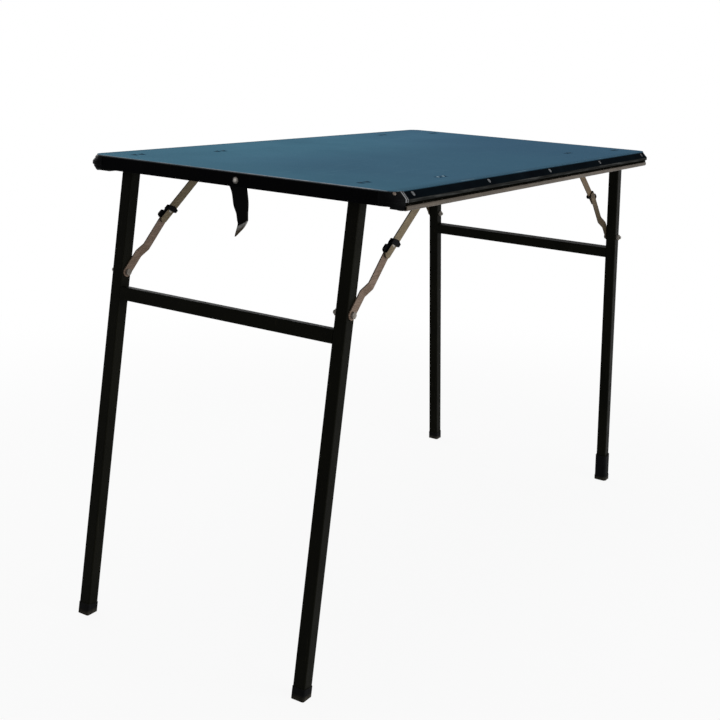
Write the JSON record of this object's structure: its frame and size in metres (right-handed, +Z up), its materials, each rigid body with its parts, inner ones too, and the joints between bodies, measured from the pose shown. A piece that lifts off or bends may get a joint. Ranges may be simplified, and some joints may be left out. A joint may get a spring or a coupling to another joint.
{
  "type": "folding camping table",
  "caption": "Rectangular sheet-metal table with splayed square-tube leg frames that fold flat under the top on jointed stays with lock sliders, a swinging catch and a levelling foot.",
  "frame": {"origin": "on the floor under the middle of the table top", "axes": "+X along the long sides, +Y across the width away from the viewer's near long side, +Z up"},
  "size_m": [1.171, 0.581, 0.7512],
  "materials": {
    "painted_sheet": "satin blue-grey enamel on sheet steel",
    "painted_rail": "satin near-black enamel",
    "painted_tube": "satin near-black enamel on square steel tube",
    "cap_plastic": "matt black moulded plastic",
    "foot_plastic": "matt black rubber",
    "bare_steel": "dull brownish-grey rolled steel",
    "rivet_steel": "bright plated steel",
    "bracket_steel": "dull zinc-plated steel",
    "slider_plastic": "black moulded plastic",
    "latch_steel": "satin black enamel with a worn bright tip"
  },
  "bodies": {
    "top": {"top_panel": "painted_sheet", "side_rail_near": "painted_rail", "side_rail_far": "painted_rail", "end_rail_left": "painted_rail", "end_rail_right": "painted_rail", "corner_cap_left_far": "cap_plastic", "corner_cap_left_near": "cap_plastic", "corner_cap_right_near": "cap_plastic", "corner_cap_right_far": "cap_plastic", "flange_rivets": "rivet_steel", "corner_rivets": "rivet_steel", "bracket_rivets": "rivet_steel", "leg_bracket_left_far": "bracket_steel", "leg_bracket_left_near": "bracket_steel", "leg_bracket_right_near": "bracket_steel", "leg_bracket_right_far": "bracket_steel", "stay_bracket_left_far": "bracket_steel", "stay_bracket_left_near": "bracket_steel", "stay_bracket_right_near": "bracket_steel", "stay_bracket_right_far": "bracket_steel", "leg_pins": "rivet_steel", "anchor_pins": "rivet_steel", "latch_rivet": "rivet_steel"},
    "latch": {"latch": "latch_steel"},
    "frame_left": {"leg_left_far": "painted_tube", "leg_left_near": "painted_tube", "crossbar_left": "painted_tube", "foot_left_far": "foot_plastic", "foot_left_near": "foot_plastic", "stay_bolts_left": "rivet_steel", "stay_nuts_left": "rivet_steel"},
    "frame_right": {"leg_right_near": "painted_tube", "leg_right_far": "painted_tube", "crossbar_right": "painted_tube", "foot_right_far": "foot_plastic", "stay_bolts_right": "rivet_steel", "stay_nuts_right": "rivet_steel", "levelling_nut": "rivet_steel"},
    "levelling_foot": {"levelling_foot": "foot_plastic", "levelling_stud": "rivet_steel"},
    "upper_left_far": {"upper_link_left_far": "bare_steel", "knuckle_front_left_far": "rivet_steel"},
    "lower_left_far": {"lower_link_left_far": "bare_steel", "knuckle_back_left_far": "rivet_steel"},
    "slider_left_far": {"lock_slider_left_far": "slider_plastic"},
    "upper_left_near": {"upper_link_left_near": "bare_steel", "knuckle_front_left_near": "rivet_steel"},
    "lower_left_near": {"lower_link_left_near": "bare_steel", "knuckle_back_left_near": "rivet_steel"},
    "slider_left_near": {"lock_slider_left_near": "slider_plastic"},
    "upper_right_near": {"upper_link_right_near": "bare_steel", "knuckle_front_right_near": "rivet_steel"},
    "lower_right_near": {"lower_link_right_near": "bare_steel", "knuckle_back_right_near": "rivet_steel"},
    "slider_right_near": {"lock_slider_right_near": "slider_plastic"},
    "upper_right_far": {"upper_link_right_far": "bare_steel", "knuckle_front_right_far": "rivet_steel"},
    "lower_right_far": {"lower_link_right_far": "bare_steel", "knuckle_back_right_far": "rivet_steel"},
    "slider_right_far": {"lock_slider_right_far": "slider_plastic"}
  },
  "joints": [
    {"name": "fold_left", "type": "hinge", "parent": "top", "child": "frame_left", "pos_m": [-0.483, 0, 0.733], "axis": [0, -1, 0], "range_deg": [0, 97]},
    {"name": "fold_right", "type": "hinge", "parent": "top", "child": "frame_right", "pos_m": [0.483, 0, 0.733], "axis": [0, 1, 0], "range_deg": [0, 97]},
    {"name": "upper_turn_left_far", "type": "hinge", "parent": "top", "child": "upper_left_far", "pos_m": [-0.315, 0.2078, 0.733], "axis": [0, 1, 0], "range_deg": [0, 37.41]},
    {"name": "lower_turn_left_far", "type": "hinge", "parent": "frame_left", "child": "lower_left_far", "pos_m": [-0.50378, 0.2187, 0.56377], "axis": [0, -1, 0], "range_deg": [0, 36.75]},
    {"name": "lock_slide_left_far", "type": "slide", "parent": "upper_left_far", "child": "slider_left_far", "axis": [0.7943, 0, 0.6075], "range_m": [0, 0.02]},
    {"name": "upper_turn_left_near", "type": "hinge", "parent": "top", "child": "upper_left_near", "pos_m": [-0.315, -0.2212, 0.733], "axis": [0, 1, 0], "range_deg": [0, 37.41]},
    {"name": "lower_turn_left_near", "type": "hinge", "parent": "frame_left", "child": "lower_left_near", "pos_m": [-0.50378, -0.2103, 0.56377], "axis": [0, -1, 0], "range_deg": [0, 36.75]},
    {"name": "lock_slide_left_near", "type": "slide", "parent": "upper_left_near", "child": "slider_left_near", "axis": [0.7943, 0, 0.6075], "range_m": [0, 0.02]},
    {"name": "upper_turn_right_near", "type": "hinge", "parent": "top", "child": "upper_right_near", "pos_m": [0.315, -0.2078, 0.733], "axis": [0, -1, 0], "range_deg": [0, 37.41]},
    {"name": "lower_turn_right_near", "type": "hinge", "parent": "frame_right", "child": "lower_right_near", "pos_m": [0.50378, -0.2187, 0.56377], "axis": [0, 1, 0], "range_deg": [0, 36.75]},
    {"name": "lock_slide_right_near", "type": "slide", "parent": "upper_right_near", "child": "slider_right_near", "axis": [-0.7943, 0, 0.6075], "range_m": [0, 0.02]},
    {"name": "upper_turn_right_far", "type": "hinge", "parent": "top", "child": "upper_right_far", "pos_m": [0.315, 0.2212, 0.733], "axis": [0, -1, 0], "range_deg": [0, 37.41]},
    {"name": "lower_turn_right_far", "type": "hinge", "parent": "frame_right", "child": "lower_right_far", "pos_m": [0.50378, 0.2103, 0.56377], "axis": [0, 1, 0], "range_deg": [0, 36.75]},
    {"name": "lock_slide_right_far", "type": "slide", "parent": "upper_right_far", "child": "slider_right_far", "axis": [-0.7943, 0, 0.6075], "range_m": [0, 0.02]},
    {"name": "foot_level", "type": "slide", "parent": "frame_right", "child": "levelling_foot", "axis": [0.1219, 0, -0.9925], "range_m": [0, 0.02]},
    {"name": "latch_swing", "type": "hinge", "parent": "top", "child": "latch", "pos_m": [-0.5032, -0.011, 0.7375], "axis": [1, 0, 0], "range_deg": [-60, 40]}
  ],
  "couplings": [
    {"joint": "upper_turn_left_far", "follows": "fold_left", "ratio": 0.38567},
    {"joint": "lower_turn_left_far", "follows": "fold_left", "ratio": 0.37885},
    {"joint": "upper_turn_left_near", "follows": "fold_left", "ratio": 0.38567},
    {"joint": "lower_turn_left_near", "follows": "fold_left", "ratio": 0.37885},
    {"joint": "upper_turn_right_near", "follows": "fold_right", "ratio": 0.38567},
    {"joint": "lower_turn_right_near", "follows": "fold_right", "ratio": 0.37885},
    {"joint": "upper_turn_right_far", "follows": "fold_right", "ratio": 0.38567},
    {"joint": "lower_turn_right_far", "follows": "fold_right", "ratio": 0.37885}
  ]
}
